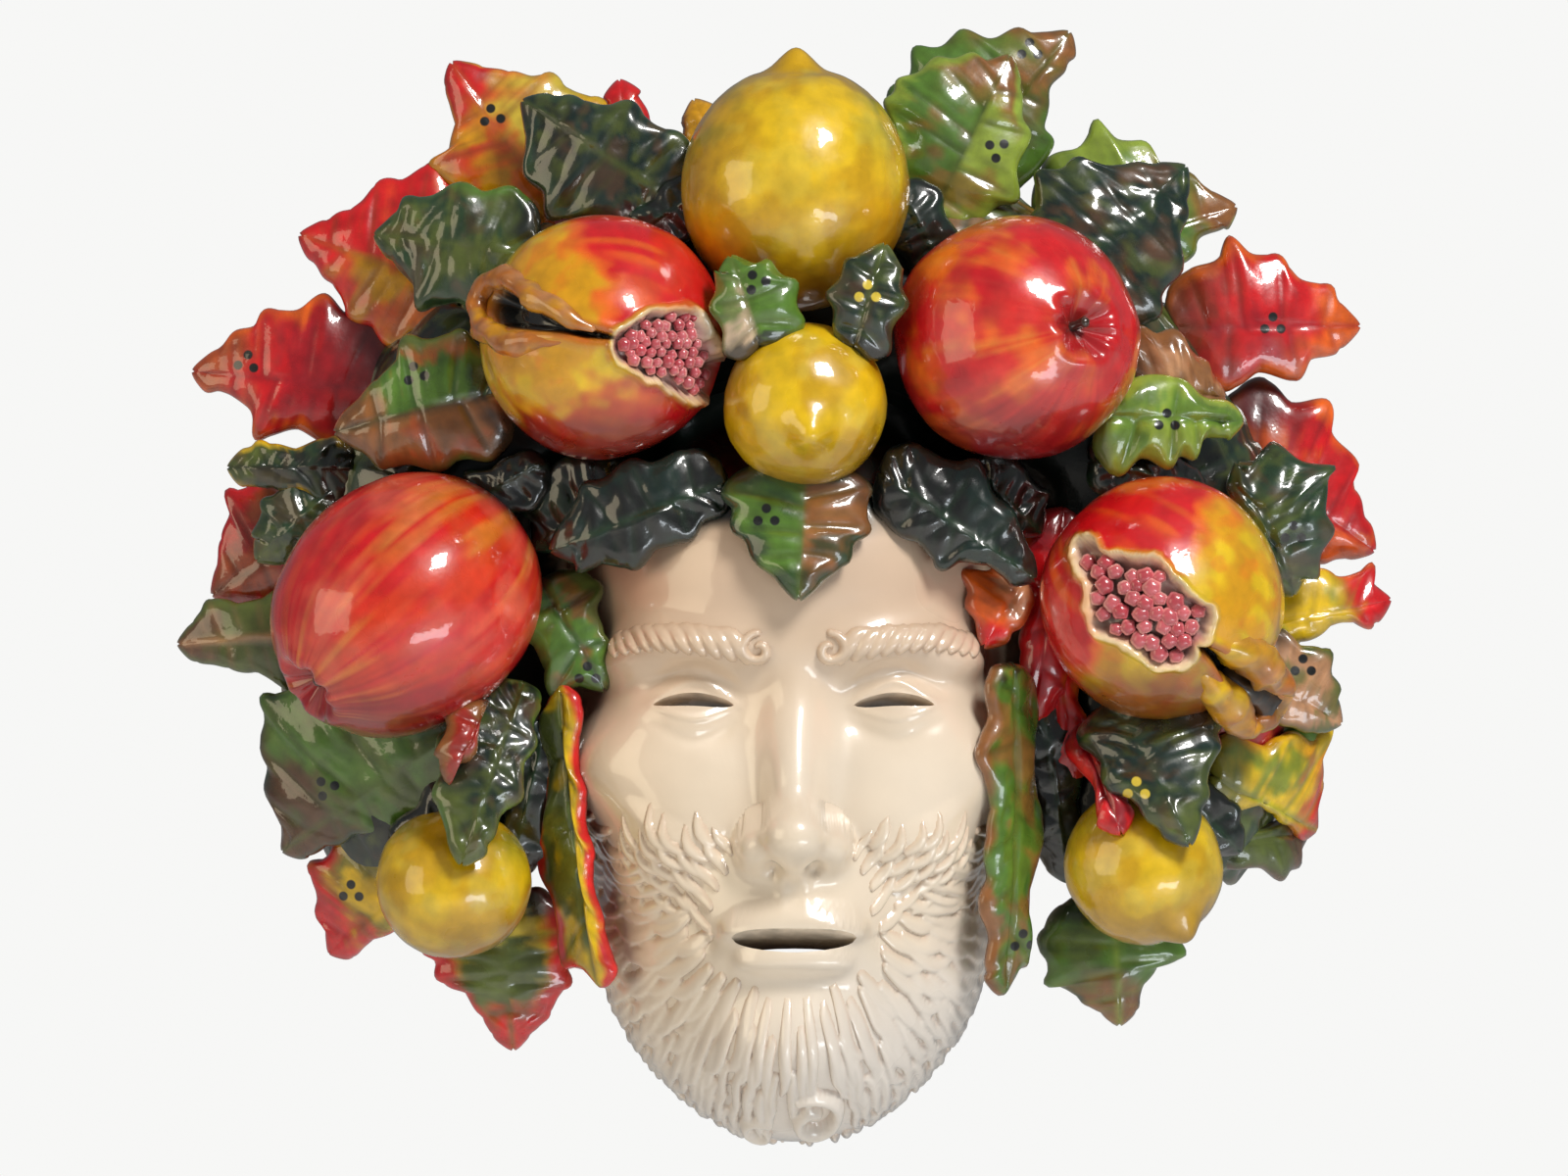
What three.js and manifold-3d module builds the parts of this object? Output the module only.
// A glazed ceramic wall mask: a bearded face inside a horseshoe wreath of fruit and vine leaves.
// Millimetres. X runs to the right of someone facing the mask, Y runs into the wall and Z runs up.
// The wall is the plane y = 0, and the origin is on the flat hanging shelf at the back.
import * as THREE from 'three';
import { mergeVertices } from 'three/addons/utils/BufferGeometryUtils.js';
import Module from 'manifold-3d';

const wasm = await Module();
wasm.setup();

// Head: canon of a calm, full-faced head, in units of hairline to brow to nose to chin
const CROWN_Z = -3;
const HEAD_HEIGHT = 242;
const HEAD_HALF_WIDTH = HEAD_HEIGHT / 3;
const FACE_UNIT = HEAD_HEIGHT / 3.5;
const BROW_Z = CROWN_Z - 1.5 * FACE_UNIT;
const EYE_Z = CROWN_Z - HEAD_HEIGHT / 2;
const NOSE_Z = BROW_Z - FACE_UNIT;
const MOUTH_Z = NOSE_Z - FACE_UNIT / 3;
const CHIN_Z = CROWN_Z - HEAD_HEIGHT;
const EYE_X = HEAD_HALF_WIDTH * 0.4;
const HEAD_CENTRE = new THREE.Vector3(0, 0, -100);

// Locks of hair, on the face flattened out to millimetres along the skin
const SKIN_RADIUS = 86;
const FLAT_MOUTH = new THREE.Vector2(0, -70);
const LOCK_BEND = 0.22;
const LOCK_ROOT = 2;

// Clay walls
const WALL = 8;
const THIN_WALL = 5.5;
const OVERCUT = 2;

// Pierced slits of the eyes and the mouth
const EYE_SLIT = { halfWidth: 13, halfHeight: 2.5, bow: 1.2 };
const MOUTH_SLIT = { halfWidth: 20, halfHeight: 3.6, bow: -2.4 };

// Wreath core: a hollow half ring that carries fruit and leaves
const WREATH_CENTRE_Z = -107;
const WREATH_RADIUS = 120;
const WREATH_HALF_WIDTH = 44;
const WREATH_DEPTH = 58;
const WREATH_START = THREE.MathUtils.degToRad(-40);
const WREATH_END = THREE.MathUtils.degToRad(220);

const CROWN_HOLLOW = { z: -14, radii: [62, 47, 42] };

// Hanging shelf across the top of the hollow back, with a notch that sits on the wall hook
const SHELF_THICKNESS = 8;
const SHELF_EDGE_Z = -16;
const NOTCH = { halfWidth: 7, height: 6 };

// Leaves
const LEAF_THICKNESS = 6;

// Shared helpers

function closedGeometry(positions, triangles) {
  const geometry = new THREE.BufferGeometry();
  geometry.setAttribute('position', new THREE.Float32BufferAttribute(positions, 3));
  geometry.setIndex(triangles);
  return geometry;
}

function toSolid(source) {
  const bare = source.clone();
  bare.deleteAttribute('normal');
  bare.deleteAttribute('uv');
  const merged = mergeVertices(bare, 1e-3);
  const index = merged.index.array;
  const kept = [];
  for (let i = 0; i < index.length; i += 3) {
    const [a, b, c] = [index[i], index[i + 1], index[i + 2]];
    if (a !== b && b !== c && c !== a) kept.push(a, b, c);
  }
  return new wasm.Manifold(new wasm.Mesh({
    numProp: 3,
    vertProperties: new Float32Array(merged.attributes.position.array),
    triVerts: new Uint32Array(kept),
  }));
}

// The outer skin alone: air pockets closed in between leaves and fruit are packed with clay
function outerSkin(manifold) {
  const { vertProperties, triVerts } = manifold.getMesh();
  const owner = Array.from({ length: vertProperties.length / 3 }, (_, i) => i);
  const find = (i) => {
    while (owner[i] !== i) i = owner[i] = owner[owner[i]];
    return i;
  };
  for (let t = 0; t < triVerts.length; t += 3) {
    owner[find(triVerts[t])] = find(triVerts[t + 1]);
    owner[find(triVerts[t + 1])] = find(triVerts[t + 2]);
  }
  const skins = new Map();
  for (let t = 0; t < triVerts.length; t += 3) {
    const key = find(triVerts[t]);
    if (!skins.has(key)) skins.set(key, []);
    skins.get(key).push(triVerts[t], triVerts[t + 1], triVerts[t + 2]);
  }
  const largest = [...skins.values()].reduce((a, b) => (b.length > a.length ? b : a));
  const geometry = mergeVertices(closedGeometry(vertProperties, largest), 1e-3);
  geometry.computeVertexNormals();
  return geometry;
}

function unite(solids) {
  return solids.reduce((whole, next) => whole.add(next));
}

// A closed skin over a row of rings with equal point counts, fanned shut at both ends
function loft(rings) {
  const count = rings[0].length;
  const positions = [];
  const triangles = [];
  for (const ring of rings) for (const p of ring) positions.push(p.x, p.y, p.z);
  for (let r = 0; r + 1 < rings.length; r += 1) {
    for (let i = 0; i < count; i += 1) {
      const a = r * count + i;
      const b = r * count + ((i + 1) % count);
      triangles.push(a, b, b + count, a, b + count, a + count);
    }
  }
  const last = (rings.length - 1) * count;
  for (let i = 1; i + 1 < count; i += 1) {
    triangles.push(0, i + 1, i);
    triangles.push(last, last + i, last + i + 1);
  }
  return toSolid(closedGeometry(positions, triangles));
}

// A prism through the wall along Y, from an outline of [x, z] points
function throughCut(outline, nearY, farY) {
  const shape = new THREE.Shape(outline.map(([x, z]) => new THREE.Vector2(x, z)));
  const prism = new THREE.ExtrudeGeometry(shape, { depth: farY - nearY, bevelEnabled: false });
  prism.rotateX(Math.PI / 2);
  prism.translate(0, farY, 0);
  return toSolid(prism);
}

// Head: soft clay lumps and hollows, blended into one skin that is found along rays from the centre

// Each has a centre, three radii, the reach of its blend, a tilt from the front and a pitch from the side
function lump(centre, radii, blend, tilt = 0, pitch = 0) {
  return { centre, radii, blend, tilt, pitch, sign: 1 };
}

function hollow(centre, radii, blend, tilt = 0, pitch = 0) {
  return { centre, radii, blend, tilt, pitch, sign: -1 };
}

const pair = (make, [x, y, z], radii, blend, tilt = 0, pitch = 0) => [
  make([x, y, z], radii, blend, tilt, pitch),
  make([-x, y, z], radii, blend, -tilt, pitch),
];

const skull = [
  lump([0, 8, -98], [HEAD_HALF_WIDTH, 92, 96], 1),
  lump([0, -2, -166], [66, 82, 72], 30),
];

const beardMass = [
  lump([0, -28, -206], [62, 58, 56], 22),
  lump([0, -44, CHIN_Z + 7], [30, 36, 26], 22),
];

const brows = [
  lump([0, -34, -80], [60, 53, 44], 24),
  ...pair(lump, [24, -78, BROW_Z], [21, 11, 7], 12, 8),
  ...pair(lump, [46, -65, BROW_Z], [15, 12, 7], 12, -16),
];

const eyes = [
  ...pair(hollow, [EYE_X, -102, EYE_Z - 2], [20, 22, 13], 14),
  ...pair(hollow, [13, -98, EYE_Z + 2], [7, 12, 14], 10),
  ...pair(lump, [EYE_X, -64, EYE_Z - 1], [18.5, 17.5, 14.5], 4),
];

const cheeks = [
  ...pair(lump, [44, -56, NOSE_Z + 31], [27, 26, 19], 24),
  ...pair(lump, [31, -62, NOSE_Z + 12], [19, 22, 19], 18),
];

const nose = [
  lump([0, -83, -142], [9.5, 13, 33], 10, 0, -26),
  lump([0, -99, NOSE_Z + 10.5], [11, 12.5, 10], 7),
  ...pair(lump, [12, -90, NOSE_Z + 7], [7.5, 10.5, 7.5], 5),
  lump([0, -93, NOSE_Z + 3], [5, 11, 4.5], 4),
  ...pair(hollow, [6.6, -97, NOSE_Z - 1.5], [3.6, 6.5, 4], 2.5, -15),
];

const mouthAndChin = [
  lump([0, -61, MOUTH_Z + 3], [31, 32, 27], 18),
  ...pair(lump, [8, -91, MOUTH_Z + 4.8], [15, 7, 4.8], 5, -9),
  lump([0, -91, MOUTH_Z - 7.2], [18, 7.5, 5.6], 5),
  hollow([0, -102, MOUTH_Z - 18], [18, 10, 5.5], 10),
  lump([0, -72, CHIN_Z + 14], [21, 21, 15], 14),
];

const headMass = [...skull, ...beardMass];
const headBlobs = [...headMass, ...brows, ...eyes, ...cheeks, ...nose, ...mouthAndChin];

function turnPlane(local, first, second, degrees) {
  if (!degrees) return;
  const turn = THREE.MathUtils.degToRad(degrees);
  const [a, b] = [local[first], local[second]];
  local[first] = a * Math.cos(turn) + b * Math.sin(turn);
  local[second] = b * Math.cos(turn) - a * Math.sin(turn);
}

function blobDistance(p, { centre, radii, tilt, pitch }) {
  const local = [p.x - centre[0], p.y - centre[1], p.z - centre[2]];
  turnPlane(local, 0, 2, tilt);
  turnPlane(local, 1, 2, pitch);
  const inner = Math.hypot(local[0] / radii[0], local[1] / radii[1], local[2] / radii[2]);
  const outer = Math.hypot(local[0] / radii[0] ** 2, local[1] / radii[1] ** 2, local[2] / radii[2] ** 2);
  return inner * (inner - 1) / Math.max(outer, 1e-6);
}

function clayDistance(p, blobs) {
  let distance = 1e3;
  for (const blob of blobs) {
    const d = blobDistance(p, blob);
    const other = blob.sign > 0 ? d : -d;
    const near = Math.max(blob.blend - Math.abs(distance - other), 0) / blob.blend;
    const soften = near * near * blob.blend / 4;
    distance = blob.sign > 0 ? Math.min(distance, other) - soften : Math.max(distance, other) + soften;
  }
  return distance;
}

function skinRadius(direction, blobs) {
  const p = new THREE.Vector3();
  let radius = 200;
  for (let step = 0; step < 90; step += 1) {
    p.copy(direction).multiplyScalar(radius).add(HEAD_CENTRE);
    const distance = clayDistance(p, blobs);
    if (distance < 0.02) break;
    radius -= distance * 0.8;
  }
  return radius;
}

// Ray directions: a square sheet wrapped onto the half sphere that faces the viewer
function sheetDirection(u, v) {
  const major = Math.max(Math.abs(u), Math.abs(v));
  const length = Math.hypot(u, v) || 1;
  const angle = major * Math.PI / 2;
  const swing = major > 0 ? Math.sin(angle) / length : 0;
  return new THREE.Vector3(u * swing, -Math.cos(angle), v * swing);
}

// The ray to a place on the flattened face, in millimetres along the skin from straight ahead
function sheetRay(place) {
  const reach = place.length() || 1e-6;
  const angle = reach / SKIN_RADIUS;
  const swing = Math.sin(angle) / reach;
  return new THREE.Vector3(place.x * swing, -Math.cos(angle), place.y * swing);
}

// Hair and beard: tapered, curved locks. Their places and angles are on the flattened face.

function lockRow({ count, from, to, reach, length, width, height, droop }) {
  return Array.from({ length: count }, (_, i) => {
    const angle = THREE.MathUtils.degToRad(from + (to - from) * (i + 0.5) / count);
    const ray = new THREE.Vector2(Math.cos(angle), Math.sin(angle));
    const root = ray.clone().multiplyScalar(reach).add(FLAT_MOUTH);
    const heading = ray.setY(ray.y - droop).normalize();
    return { root, heading, length, width, height, bend: i % 2 ? LOCK_BEND : -LOCK_BEND };
  });
}

function tuftFan(side, { start, step, count, angles, length, width, height }) {
  return Array.from({ length: count }, (_, i) => {
    const turn = THREE.MathUtils.degToRad(THREE.MathUtils.lerp(angles[0], angles[1], i / (count - 1)));
    const root = new THREE.Vector2(side * (start[0] + step[0] * i), start[1] + step[1] * i);
    const heading = new THREE.Vector2(side * Math.cos(turn), Math.sin(turn));
    return { root, heading, length, width, height, bend: -LOCK_BEND * side };
  });
}

const cheekRow = { count: 2, reach: 58, length: 22, width: 12, height: 4, droop: 0.5 };
const beardLocks = [
  ...lockRow({ count: 8, from: -190, to: 10, reach: 27, length: 16, width: 11, height: 4, droop: 0.3 }),
  ...lockRow({ count: 10, from: -180, to: 0, reach: 42, length: 18, width: 12, height: 4.5, droop: 0.3 }),
  ...lockRow({ ...cheekRow, from: -195, to: -150 }),
  ...lockRow({ ...cheekRow, from: -30, to: 15 }),
];

const moustache = {
  start: [6, -64], step: [9, -1.5], count: 3, angles: [-20, -60], length: 20, width: 10, height: 4,
};
const browTufts = {
  start: [12, -4], step: [11, 0.6], count: 3, angles: [55, 10], length: 16, width: 9, height: 3,
};
const faceLocks = [-1, 1].flatMap((side) => [...tuftFan(side, moustache), ...tuftFan(side, browTufts)]);

// A lock is a ridge on three lines: its two edges sunk in the skin and a crest between them
function lockSolid({ root, heading, length, width, height, bend }) {
  const stations = 3;
  const across = new THREE.Vector2(-heading.y, heading.x);
  const rings = Array.from({ length: stations + 1 }, (_, i) => {
    const s = i / stations;
    const taper = Math.max(Math.sin(Math.PI * (0.2 + 0.76 * s)), 0.1);
    const place = root.clone()
      .addScaledVector(heading, length * s)
      .addScaledVector(across, bend * length * s * s);
    const onSkin = (offset, lift) => {
      const direction = sheetRay(place.clone().addScaledVector(across, offset));
      return direction.clone()
        .multiplyScalar(skinRadius(direction, headBlobs) + lift)
        .add(HEAD_CENTRE);
    };
    const half = width / 2 * taper;
    return [onSkin(half, -LOCK_ROOT), onSkin(0, height * taper), onSkin(-half, -LOCK_ROOT)];
  });
  return loft(rings);
}

// A half shell over the sheet of rays, closed by a fan in the wall plane or behind it
function rayShell(columns, rows, radiusOf, backY) {
  const positions = [];
  const triangles = [];
  const width = columns.length;
  for (const v of rows) {
    for (const u of columns) {
      const direction = sheetDirection(u, v);
      const p = direction.clone().multiplyScalar(radiusOf(direction)).add(HEAD_CENTRE);
      positions.push(p.x, p.y, p.z);
    }
  }
  for (let j = 0; j + 1 < rows.length; j += 1) {
    for (let i = 0; i + 1 < width; i += 1) {
      const a = j * width + i;
      const corners = [a, a + 1, a + 1 + width, a + width];
      const rising = (i < width / 2 - 1) === (j < rows.length / 2 - 1);
      if (rising) triangles.push(corners[0], corners[1], corners[2], corners[0], corners[2], corners[3]);
      else triangles.push(corners[0], corners[1], corners[3], corners[1], corners[2], corners[3]);
    }
  }
  const rim = [];
  for (let i = 0; i < width; i += 1) rim.push(i);
  for (let j = 1; j < rows.length; j += 1) rim.push(j * width + width - 1);
  for (let i = width - 2; i >= 0; i -= 1) rim.push((rows.length - 1) * width + i);
  for (let j = rows.length - 2; j > 0; j -= 1) rim.push(j * width);
  const firstBack = positions.length / 3;
  for (const k of rim) positions.push(positions[3 * k], backY, positions[3 * k + 2]);
  const middle = positions.length / 3;
  positions.push(HEAD_CENTRE.x, backY, HEAD_CENTRE.z);
  rim.forEach((k, i) => {
    const next = (i + 1) % rim.length;
    if (backY > 0) triangles.push(rim[next], k, firstBack + i, rim[next], firstBack + i, firstBack + next);
    triangles.push(middle, firstBack + next, firstBack + i);
  });
  return toSolid(closedGeometry(positions, triangles));
}

// Sheet lines from -1 to 1, closer together around one place
function gridLines(count, focus, pull) {
  return Array.from({ length: count + 1 }, (_, i) => {
    const t = -1 + 2 * i / count;
    return t + pull * (1 - t * t) * (focus - t);
  });
}

function headOutside() {
  const radiusOf = (direction) => skinRadius(direction, headBlobs);
  return rayShell(gridLines(22, 0, 0.2), gridLines(34, -0.25, 0.3), radiusOf, 0);
}

function headInside() {
  const radiusOf = (direction) => Math.min(
    skinRadius(direction, headMass) - WALL,
    skinRadius(direction, headBlobs) - THIN_WALL,
  );
  return rayShell(gridLines(8, 0, 0.1), gridLines(12, -0.3, 0.2), radiusOf, OVERCUT);
}

function lens({ halfWidth, halfHeight, bow }, centreX, centreZ) {
  const half = 5;
  const outline = [];
  for (let i = -half; i <= half; i += 1) {
    const t = i / half;
    outline.push([centreX + halfWidth * t, centreZ + bow * (1 - t * t) - halfHeight * (1 - t * t) ** 0.7]);
  }
  for (let i = half - 1; i > -half; i -= 1) {
    const t = i / half;
    outline.push([centreX + halfWidth * t, centreZ + bow * (1 - t * t) + halfHeight * (1 - t * t) ** 0.7]);
  }
  return throughCut(outline, -140, OVERCUT);
}

// Wreath core

function wreathRing(inset, backY) {
  const arcSteps = 18;
  const sectionSteps = 6;
  return Array.from({ length: arcSteps + 1 }, (_, i) => {
    const share = i / arcSteps;
    const turn = WREATH_START + (WREATH_END - WREATH_START) * share;
    const endRound = Math.sqrt(1 - Math.abs(2 * share - 1) ** 14);
    const scale = 0.45 + 0.55 * endRound;
    const halfWidth = (WREATH_HALF_WIDTH * scale) - inset;
    const depth = WREATH_DEPTH * scale - inset;
    const ring = [];
    for (let k = 0; k <= sectionSteps; k += 1) {
      const a = Math.PI * k / sectionSteps;
      const radius = WREATH_RADIUS - halfWidth * Math.cos(a);
      const y = k === 0 || k === sectionSteps ? backY : -depth * Math.sin(a) ** 0.8;
      ring.push(new THREE.Vector3(radius * Math.cos(turn), y, WREATH_CENTRE_Z + radius * Math.sin(turn)));
    }
    return ring;
  });
}

// The hollow behind the crown, where the hollows of the head and of the wreath meet
function crownHollow() {
  const scoop = new THREE.SphereGeometry(1, 12, 8);
  scoop.scale(...CROWN_HOLLOW.radii);
  scoop.translate(0, 0, CROWN_HOLLOW.z);
  return toSolid(scoop);
}

function hangingShelf() {
  const half = WREATH_RADIUS + WREATH_HALF_WIDTH;
  const outline = [
    [-half, SHELF_EDGE_Z], [-NOTCH.halfWidth, SHELF_EDGE_Z],
    [-NOTCH.halfWidth, SHELF_EDGE_Z + NOTCH.height], [NOTCH.halfWidth, SHELF_EDGE_Z + NOTCH.height],
    [NOTCH.halfWidth, SHELF_EDGE_Z], [half, SHELF_EDGE_Z], [half, half], [-half, half],
  ];
  return throughCut(outline, -SHELF_THICKNESS, 0);
}

// Fruit

function turned(profile, sides, startAngle = 0) {
  return new THREE.LatheGeometry(profile.map(([r, h]) => new THREE.Vector2(r, h)), sides, startAngle);
}

function placeFruit(geometry, centre, axis) {
  const spin = new THREE.Quaternion().setFromUnitVectors(
    new THREE.Vector3(0, 1, 0), new THREE.Vector3(...axis).normalize());
  geometry.applyQuaternion(spin);
  geometry.translate(...centre);
  return toSolid(geometry);
}

// Round fruit with a nipple at the far end of its axis
function lemon({ centre, axis, radius, length, nipple }) {
  const steps = 8;
  const profile = Array.from({ length: steps + 1 }, (_, i) => {
    const a = -Math.PI / 2 + Math.PI * i / steps;
    const tip = Math.max(0, Math.sin(a) - 0.9) * 10;
    return [i === 0 || i === steps ? 0 : radius * Math.cos(a), length * Math.sin(a) + nipple * tip];
  });
  return placeFruit(turned(profile, 11), centre, axis);
}

// Round fruit with a dimple at both ends of its axis
function apple({ centre, axis, radius, length, dimple }) {
  const steps = 8;
  const profile = Array.from({ length: steps + 1 }, (_, i) => {
    const a = -Math.PI / 2 + Math.PI * i / steps;
    const pit = dimple * Math.max(0, Math.abs(Math.sin(a)) - 0.86) / 0.14;
    return [i === 0 || i === steps ? 0 : radius * Math.cos(a) ** 0.9, (length - pit) * Math.sin(a)];
  });
  return placeFruit(turned(profile, 13), centre, axis);
}

// Split pomegranate: a round body, a ragged crown at the end of its axis and a window onto the seeds
function pomegranate({ centre, axis, radius, crown, window }) {
  const body = apple({ centre, axis, radius, length: radius * 0.97, dimple: 1 });
  const along = new THREE.Vector3(...axis).normalize();
  const middle = new THREE.Vector3(...centre);
  const crownRing = turned([[crown * 0.45, 0], [crown * 0.7, crown * 0.5], [crown, crown * 1.05],
    [crown * 0.6, crown * 0.9], [crown * 0.3, 0], [crown * 0.45, 0]], 6, 0.2);
  const seat = middle.clone().addScaledVector(along, radius * 0.86);
  const opening = new THREE.SphereGeometry(1, 8, 4);
  opening.scale(window.half[0], window.half[1], window.half[2]);
  opening.rotateY(THREE.MathUtils.degToRad(window.turn));
  opening.translate(...window.centre);
  return body.subtract(toSolid(opening)).add(placeFruit(crownRing, seat.toArray(), axis));
}

const fruits = [
  lemon({ centre: [1, -66, 43], axis: [0, -0.12, 1], radius: 37, length: 40, nipple: 4 }),
  lemon({ centre: [4, -90, -27], axis: [0.05, -0.9, -0.35], radius: 26.5, length: 25, nipple: 4 }),
  pomegranate({ centre: [-63, -80, -5], axis: [-0.95, -0.2, 0.22], radius: 40, crown: 15,
    window: { centre: [-40, -112, -11], half: [18, 9, 14], turn: 25 } }),
  apple({ centre: [74, -80, -5], axis: [0.6, -0.78, 0.12], radius: 41, length: 37, dimple: 7 }),
  apple({ centre: [-126, -72, -92], axis: [-0.66, -0.3, -0.6], radius: 40, length: 46, dimple: 7 }),
  pomegranate({ centre: [122, -72, -92], axis: [0.8, -0.25, -0.66], radius: 40, crown: 13,
    window: { centre: [112, -106, -95], half: [19, 9, 19], turn: -12 } }),
  lemon({ centre: [-111, -62, -183], axis: [0.1, -0.5, 1], radius: 26, length: 25, nipple: 1 }),
  lemon({ centre: [115, -64, -179], axis: [0.55, -0.35, -1], radius: 26, length: 26, nipple: 3 }),
];

// Leaves: a bowed midrib ridge, a toothed margin and a flat back.
// Each runs from its base to its tip as [x, z], with its depth at both, its width and its number of teeth.

function leaf({ base, tip, depth, width, teeth = 3, bite = 0.16, arch = 5, cup = 0.14, roll = 0 }) {
  const start = new THREE.Vector3(base[0], -depth[0], base[1]);
  const end = new THREE.Vector3(tip[0], -depth[1], tip[1]);
  const along = end.clone().sub(start).normalize();
  const front = new THREE.Vector3(0, -1, 0).addScaledVector(along, along.y).normalize();
  front.applyAxisAngle(along, THREE.MathUtils.degToRad(roll));
  const side = new THREE.Vector3().crossVectors(along, front);
  const stations = 2 * teeth + 1;
  const rings = Array.from({ length: stations + 1 }, (_, i) => {
    const s = i / stations;
    const swell = 4 * s * (1 - s);
    const envelope = Math.sin(Math.PI * (0.16 + 0.84 * s) ** 0.85) ** 0.75;
    const tooth = i === 0 || i === stations ? 1 : 1 + (i % 2 ? -bite : bite) * (0.6 + 0.4 * s);
    const half = Math.max(width / 2 * envelope * tooth, 1);
    const spine = start.clone().lerp(end, s)
      .addScaledVector(front, arch * swell);
    const at = (across, lift) => spine.clone()
      .addScaledVector(side, across * half)
      .addScaledVector(front, lift - cup * half * across * across);
    return [at(-1, 0), at(0, LEAF_THICKNESS / 2), at(1, 0)];
  });
  return loft(rings);
}

const fringeLeaves = [
  { base: [-72, 14], tip: [-111, 84], depth: [34, 30], width: 44, teeth: 4 },
  { base: [-100, -4], tip: [-161, 29], depth: [34, 26], width: 54, teeth: 4 },
  { base: [-136, -22], tip: [-197, -16], depth: [30, 22], width: 46, teeth: 4, bite: 0.22 },
  { base: [-152, -64], tip: [-190, -72], depth: [24, 18], width: 42 },
  { base: [-150, -99], tip: [-201, -104], depth: [30, 24], width: 30 },
  { base: [-112, -136], tip: [-168, -170], depth: [40, 34], width: 62, teeth: 4 },
  { base: [-115, -164], tip: [-152, -205], depth: [30, 24], width: 34 },
  { base: [-93, -184], tip: [-92, -237], depth: [34, 30], width: 46, teeth: 4 },
  { base: [44, 26], tip: [66, 87], depth: [44, 40], width: 48, teeth: 4, bite: 0.1 },
  { base: [56, 34], tip: [90, 95], depth: [30, 26], width: 46, teeth: 4, bite: 0.2 },
  { base: [86, 18], tip: [144, 39], depth: [30, 24], width: 52, teeth: 4 },
  { base: [122, 0], tip: [185, -2], depth: [34, 26], width: 52, teeth: 4 },
  { base: [128, -30], tip: [181, -44], depth: [26, 20], width: 44, teeth: 4 },
  { base: [144, -50], tip: [189, -74], depth: [24, 18], width: 36 },
  { base: [146, -100], tip: [195, -89], depth: [36, 26], width: 26 },
  { base: [146, -134], tip: [172, -126], depth: [30, 26], width: 30 },
  { base: [130, -144], tip: [174, -148], depth: [28, 22], width: 38, teeth: 4, bite: 0.24 },
  { base: [126, -166], tip: [167, -175], depth: [26, 20], width: 26 },
  { base: [104, -184], tip: [106, -229], depth: [34, 30], width: 50, teeth: 4, bite: 0.22 },
  { base: [-52, 44], tip: [-57, 78], depth: [26, 24], width: 18, teeth: 2 },
];

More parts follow.
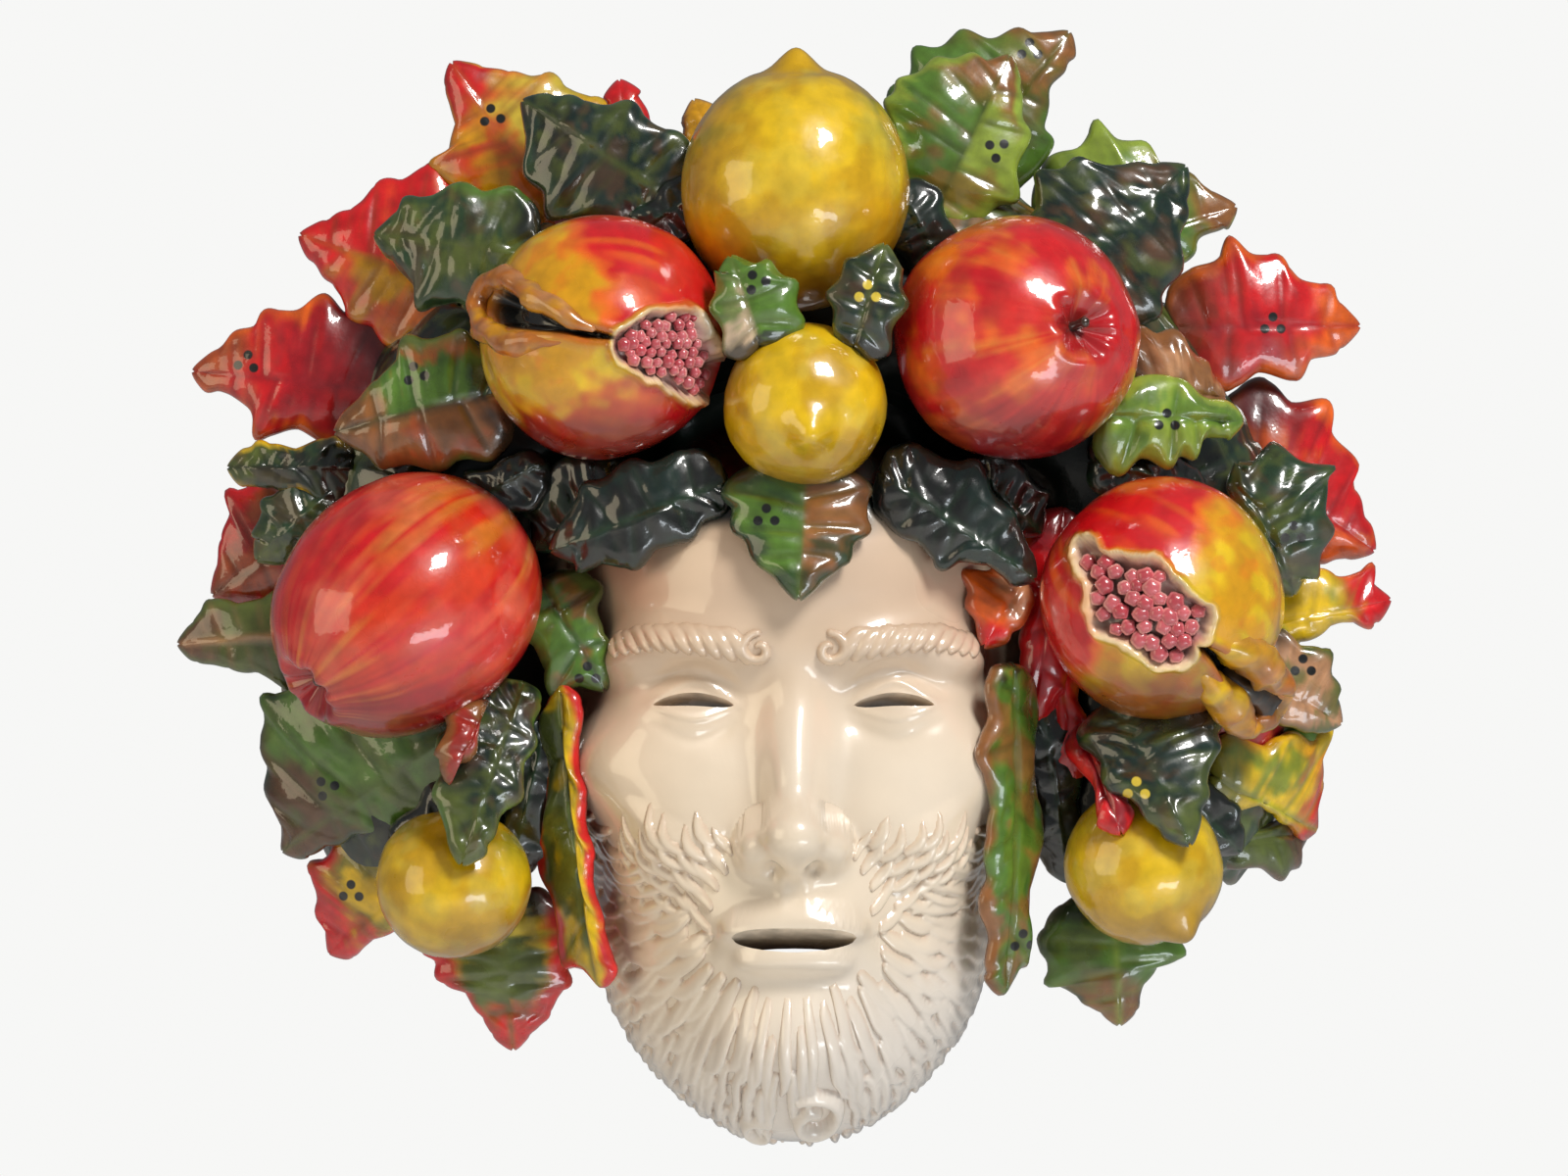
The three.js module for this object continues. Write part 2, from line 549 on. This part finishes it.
const coverLeaves = [
  { base: [-38, 26], tip: [-89, 73], depth: [58, 50], width: 44, teeth: 3, bite: 0.1 },
  { base: [-78, 18], tip: [-137, 27], depth: [60, 50], width: 42, teeth: 3, bite: 0.1 },
  { base: [-138, -38], tip: [-184, -47], depth: [44, 38], width: 28 },
  { base: [-146, -50], tip: [-170, -80], depth: [40, 36], width: 24 },
  { base: [-90, -20], tip: [-149, -35], depth: [66, 58], width: 46, teeth: 3, bite: 0.1 },
  { base: [86, 8], tip: [127, 50], depth: [54, 46], width: 52, teeth: 3, bite: 0.08 },
  { base: [104, -14], tip: [139, -24], depth: [62, 54], width: 38, bite: 0.08 },
  { base: [99, -30], tip: [146, -34], depth: [70, 60], width: 28 },
  { base: [138, -46], tip: [166, -88], depth: [52, 52], width: 40, teeth: 3, bite: 0.08 },
  { base: [140, -108], tip: [178, -124], depth: [44, 36], width: 34 },
  { base: [-85, -114], tip: [-108, -177], depth: [62, 66], width: 34, teeth: 3, bite: 0.08 },
  { base: [108, -120], tip: [129, -170], depth: [62, 64], width: 44, teeth: 3, bite: 0.08 },
  { base: [-82, -74], tip: [-66, -122], depth: [56, 60], width: 32 },
  { base: [84, -60], tip: [76, -134], depth: [50, 56], width: 30, teeth: 4, bite: 0.24 },
  { base: [90, -100], tip: [106, -166], depth: [44, 46], width: 20, teeth: 4 },
  { base: [78, -78], tip: [60, -108], depth: [58, 66], width: 26 },
];

const browLeaves = [
  { base: [-10, -6], tip: [-21, 22], depth: [100, 96], width: 32, teeth: 2, bite: 0.06 },
  { base: [20, -7], tip: [33, 25], depth: [100, 96], width: 30, teeth: 2, bite: 0.06 },
  { base: [-22, -46], tip: [-78, -80], depth: [80, 76], width: 38, teeth: 4 },
  { base: [28, -46], tip: [79, -84], depth: [80, 76], width: 38, teeth: 4 },
  { base: [2, -40], tip: [2, -91], depth: [86, 98], width: 48, teeth: 4, arch: 2 },
  { base: [-52, -40], tip: [-84, -62], depth: [70, 58], width: 34 },
  { base: [56, -40], tip: [84, -62], depth: [66, 56], width: 34 },
];

const collarLeaves = [
  { base: [-78, -108], tip: [-62, -218], depth: [48, 50], width: 34, teeth: 4, roll: 48, arch: 2 },
  { base: [76, -108], tip: [68, -219], depth: [48, 50], width: 34, teeth: 4, roll: -48, arch: 2 },
];

const leaves = [...fringeLeaves, ...coverLeaves, ...browLeaves, ...collarLeaves].map(leaf);

// Assembly: everything is one piece of fired clay, hollow behind

const locks = [...beardLocks, ...faceLocks].map(lockSolid);
const outside = unite([headOutside(), ...locks, loft(wreathRing(0, 0)), ...fruits, ...leaves]);
const inside = unite([headInside(), loft(wreathRing(WALL, OVERCUT)), crownHollow()]);
const slits = unite([
  lens(EYE_SLIT, -EYE_X, EYE_Z), lens(EYE_SLIT, EYE_X, EYE_Z), lens(MOUTH_SLIT, 0, MOUTH_Z)]);
const shelf = hangingShelf().intersect(loft(wreathRing(1, 0)).add(headOutside()));

const glaze = new THREE.MeshStandardMaterial({ color: 0xebe1cd, roughness: 0.18, metalness: 0 });
const mask = new THREE.Mesh(outerSkin(outside.subtract(inside).subtract(slits).add(shelf)), glaze);
mask.name = 'mask';

const wallMask = new THREE.Group();
wallMask.add(mask);

export default wallMask;
